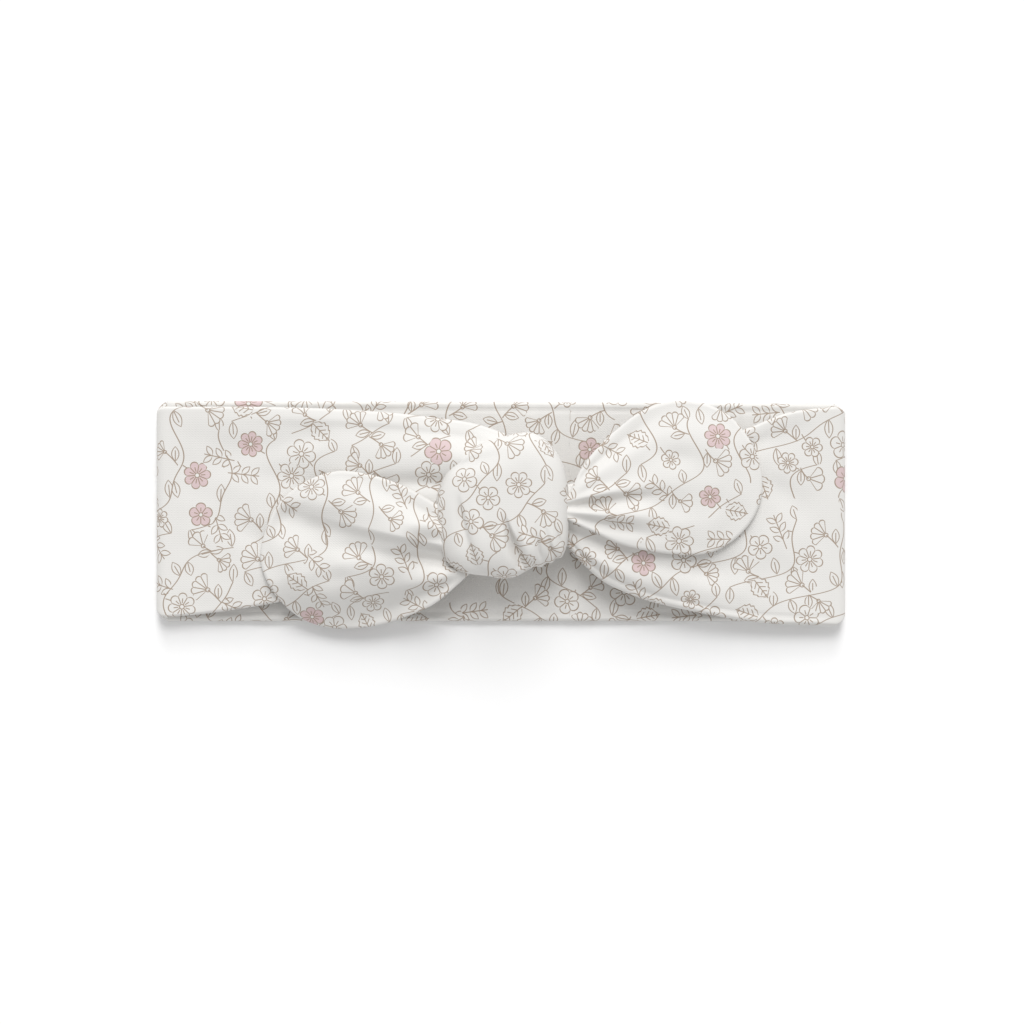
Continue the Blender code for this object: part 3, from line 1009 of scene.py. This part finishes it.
FLOOR_COLOUR = (0.97, 0.97, 0.97)
FLOOR_ROUGHNESS, FLOOR_SPECULAR = 0.9, 0.2
FLOOR_HALF, FLOOR_LEVEL = 3.0, -0.0003  # in metres; the floor lies just under the band
FLOOR_CORNERS = ((-1, -1), (1, -1), (1, 1), (-1, 1))
SUN_ANGLE, SUN_TILT = math.radians(24), math.radians(3)
KEY_LEAN, LOW_LEAN = math.radians(-35), math.radians(-58)  # from straight above
CAMERA_LENS, CAMERA_SENSOR = 120, 36
CAMERA_CLIP = (0.05, 20)
CAMERA_PLACE = (0.0029, 0.00066)  # in metres


def plain(name, colour, roughness):
    """A material of one colour."""
    made = bpy.data.materials.new(name)
    made.use_nodes = True
    shader = made.node_tree.nodes["Principled BSDF"]
    shader.inputs["Base Color"].default_value = (*colour, 1)
    shader.inputs["Roughness"].default_value = roughness
    shader.inputs["Specular IOR Level"].default_value = FLOOR_SPECULAR
    return made


def finish_piece(made, slot, *nodes):
    """Give a piece its cloth, and hide the CAD nodes it stands for. slot is not used."""
    made.data.materials.append(jersey("printed_jersey"))
    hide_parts(*nodes)
    return made


def layers_of(*parts):
    """The CAD nodes of panels: two layers and two seam allowances each."""
    layers = ("face", "lining", "top_seam", "bottom_seam")
    return [f"{part}_{layer}" for part in parts for layer in layers]


# ---- operators ----


class HeadbandBack(bpy.types.Operator):
    """Build the back of the band, which lies on the surface"""

    bl_idname = "headband.back"
    bl_label = "Back"

    def execute(self, context):
        places, flat = back_rows(-FOLD_X, KNOT_HINGE_X)
        bend_height = HINGES["back_left_bend"][2]  # the same at both bends of the back
        places, flat = knuckle(places, flat, KNOT_HINGE_X, bend_height)
        left = finish_piece(
            tube("back_left_and_middle", places, flat, flat + LINING_SHIFT),
            "jersey_face",
            *layers_of("back_center", "back_left"),
        )
        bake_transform(left)

        places, flat = back_rows(KNOT_HINGE_X, FOLD_X)
        right = finish_piece(
            tube("back_right_part", places, flat, flat + LINING_SHIFT),
            "jersey_face",
            *layers_of("back_right"),
        )
        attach(right, "back_right")
        return {"FINISHED"}


class HeadbandFolds(bpy.types.Operator):
    """Build the two folds that join the back to the arms"""

    bl_idname = "headband.folds"
    bl_label = "Folds"

    def execute(self, context):
        for side, x, top, bottom in (
            ("left", -FOLD_X, LEFT_ARM_TOP, LEFT_ARM_BOTTOM),
            ("right", FOLD_X, RIGHT_ARM_TOP, RIGHT_ARM_BOTTOM),
        ):
            places, flat = fold_rows(x, top, bottom, -LOOP_LENGTH / 2 - x)
            made = finish_piece(
                tube(f"{side}_fold", places, flat, flat + LINING_SHIFT),
                "jersey_face",
                f"{side}_fold_face",
                f"{side}_fold_lining",
            )
            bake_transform(made)
        return {"FINISHED"}


class HeadbandArms(bpy.types.Operator):
    """Build the two arms, which gather towards the knot"""

    bl_idname = "headband.arms"
    bl_label = "Arms"

    def execute(self, context):
        left = (LEFT_ARM_TOP, LEFT_ARM_BOTTOM, LEFT_ARM_FOLDS)
        right = (RIGHT_ARM_TOP, RIGHT_ARM_BOTTOM, RIGHT_ARM_FOLDS)
        for side, end, sign, (top, bottom, rows), seed, shift, size in (
            ("left", 1.0, -1, left, 2.0, 0.0, (0.0500, 0.0925)),
            ("right", 6.0, 1, right, 3.3, -LOOP_LENGTH, (0.0400, 0.0815)),
        ):
            xs = rows_of(sign * FOLD_X, end)
            places, flat = arm_rows(xs, top, bottom, rows, seed, shift, sewn=sign > 0)
            made = finish_piece(
                tube(f"{side}_arm", places, flat, flat + LINING_SHIFT),
                "jersey_face",
                *layers_of(f"{side}_arm"),
            )
            ends = [(sign * x * MM, 0, 0) for x in (45, 10)]
            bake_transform(made)
        return {"FINISHED"}


class HeadbandKnot(bpy.types.Operator):
    """Build the knot, where the cloth wraps over itself"""

    bl_idname = "headband.knot"
    bl_label = "Knot"

    def execute(self, context):
        middle = (KNOT_LOW + KNOT_HIGH) / 2
        half = (KNOT_HIGH - KNOT_LOW) / 2

        def top(x, y, inset):
            lean = 1 - KNOT_LEAN_LEFT * ease(-x / KNOT_LEAN_REACH)
            lean = lean - KNOT_LEAN_BOTTOM * ease(-y / KNOT_LEAN_REACH)
            dome = half * lean * rolled(inset, KNOT_REACH_TOP, KNOT_POWER) * KNOT_TOP_SHARE
            return middle + dome + folds(x, y, KNOT_FOLDS) * ease(inset / KNOT_SOFT_REACH)

        def bottom(x, y, inset):
            return middle - half * rolled(inset, KNOT_REACH_BOTTOM, KNOT_POWER)

        made = finish_piece(
            pillow("knot", KNOT, (0.5, 2.0), top, bottom, (61.0, 37.0), KNOT_RINGS, KNOT_CROWD),
            "jersey_face",
            "knot_wrap",
            "knot_left_strand",
            "knot_right_strand",
        )
        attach(made, "knot")
        return {"FINISHED"}


class HeadbandTails(bpy.types.Operator):
    """Build the two rounded tails, which lie on the arms"""

    bl_idname = "headband.tails"
    bl_label = "Tails"

    def execute(self, context):
        left = (LEFT_TAIL, (-38.0, -8.0), LEFT_TAIL_FOLDS, LEFT_ARM_BOTTOM)
        right = (RIGHT_TAIL, (43.0, 9.0), RIGHT_TAIL_FOLDS, RIGHT_ARM_TOP)
        for side, sign, (rim, middle, rows, arm_edge), (hang, tuck), seed, shift, size in (
            ("left", -1, left, (9.0, 3.2), 4.4, (131.0, 88.0), (0.0405, 0.053)),
            ("right", 1, right, (2.2, 0.0), 5.2, (-77.0, 153.0), (0.0390, 0.055)),
        ):

            def base(x, y, sign=sign, arm_edge=arm_edge, hang=hang, tuck=tuck):
                past = sign * (y - edge(arm_edge, x))
                droop = hang * ease((past + HANG_BEFORE) / HANG_WIDTH)
                droop = droop * ease((np.abs(x) - HANG_FROM) / HANG_LENGTH)
                under = tuck * ease((TUCK_FROM - np.abs(x)) / TUCK_LENGTH)
                under = under * ease((TUCK_BELOW - y) / TUCK_DEPTH)
                return arm_low(x) + arm_thick(x) + CLEARANCE - droop - under

            def top(x, y, inset, base=base, rows=rows, seed=seed):
                soft = ease((inset + TAIL_SOFT_START) / TAIL_SOFT_REACH)
                swell = TAIL_SWELL + TAIL_SWELL_MIDDLE * ease(inset / TAIL_SWELL_REACH)
                surface = (folds(x, y, rows) + UNEVENNESS * ripple(x, y, seed)) * soft
                return base(x, y) + TAIL_RIM + swell * rolled(inset, TAIL_RIM_REACH) + surface

            def bottom(x, y, inset, base=base):
                return base(x, y) + TAIL_RIM - TAIL_BELLY * rolled(inset, TAIL_RIM_REACH)

            made = finish_piece(
                pillow(f"{side}_tail", rim, middle, top, bottom, shift, TAIL_RINGS, TAIL_CROWD),
                "jersey_face",
                f"{side}_tail_face",
                f"{side}_tail_lining",
                f"{side}_tail_seam",
            )
            ends = [(sign * x * MM, 0, 0) for x in (14, 26)]
            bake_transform(made)
        return {"FINISHED"}


class HeadbandSetStage(bpy.types.Operator):
    """Set the floor, the light and the camera"""

    bl_idname = "headband.stage"
    bl_label = "Stage"

    def execute(self, context):
        stage = context.scene.headband_stage
        mesh = bpy.data.meshes.new("floor")
        corners = [(x * FLOOR_HALF, y * FLOOR_HALF, FLOOR_LEVEL) for x, y in FLOOR_CORNERS]
        mesh.from_pydata(corners, [], [(0, 1, 2, 3)])
        floor = bpy.data.objects.new("floor", mesh)
        floor.data.materials.append(plain("floor_white", FLOOR_COLOUR, FLOOR_ROUGHNESS))
        context.scene.collection.objects.link(floor)

        world = bpy.data.worlds.new("studio")
        world.use_nodes = True
        light = world.node_tree.nodes["Background"]
        light.inputs["Color"].default_value = (1, 1, 1, 1)
        light.inputs["Strength"].default_value = stage.fill
        context.scene.world = world

        for name, strength, lean in (("key", stage.key, KEY_LEAN), ("low", stage.low, LOW_LEAN)):
            lamp = bpy.data.lights.new(name, "SUN")
            lamp.energy = strength
            lamp.angle = SUN_ANGLE
            sun = bpy.data.objects.new(name, lamp)
            sun.rotation_euler = (lean, SUN_TILT, 0)
            context.scene.collection.objects.link(sun)

        lens = bpy.data.cameras.new("camera")
        lens.lens = CAMERA_LENS
        lens.sensor_width = CAMERA_SENSOR
        lens.clip_start, lens.clip_end = CAMERA_CLIP
        camera = bpy.data.objects.new("camera", lens)
        camera.location = (*CAMERA_PLACE, stage.width * CAMERA_LENS / CAMERA_SENSOR)
        context.scene.collection.objects.link(camera)
        context.scene.camera = camera
        context.scene.view_settings.view_transform = "Standard"
        return {"FINISHED"}


STEPS = (HeadbandBack, HeadbandFolds, HeadbandArms, HeadbandKnot, HeadbandTails, HeadbandSetStage)


class HeadbandPanel(bpy.types.Panel):
    """Lists the headband's settings and steps"""

    bl_idname = "VIEW3D_PT_headband"
    bl_label = "Headband"
    bl_space_type = "VIEW_3D"
    bl_region_type = "UI"
    bl_category = "Headband"

    def draw(self, context):
        for name in GROUPS:
            group = getattr(context.scene, name)
            for setting in group.__annotations__:
                self.layout.prop(group, setting)
        for step in STEPS:
            self.layout.operator(step.bl_idname)


GROUPS = {
    "headband_cloth": HeadbandCloth,
    "headband_shape": HeadbandShape,
    "headband_stage": HeadbandStage,
}
CLASSES = (*GROUPS.values(), *STEPS, HeadbandPanel)


def register():
    for cls in CLASSES:
        bpy.utils.register_class(cls)
    for name, group in GROUPS.items():
        setattr(bpy.types.Scene, name, bpy.props.PointerProperty(type=group))


def unregister():
    for name in GROUPS:
        delattr(bpy.types.Scene, name)
    for cls in reversed(CLASSES):
        bpy.utils.unregister_class(cls)


def main():
    """Register the add-on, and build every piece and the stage."""
    register()
    bpy.ops.headband.back()
    bpy.ops.headband.folds()
    bpy.ops.headband.arms()
    bpy.ops.headband.knot()
    bpy.ops.headband.tails()
    bpy.ops.headband.stage()


if __name__ == "__main__":
    main()
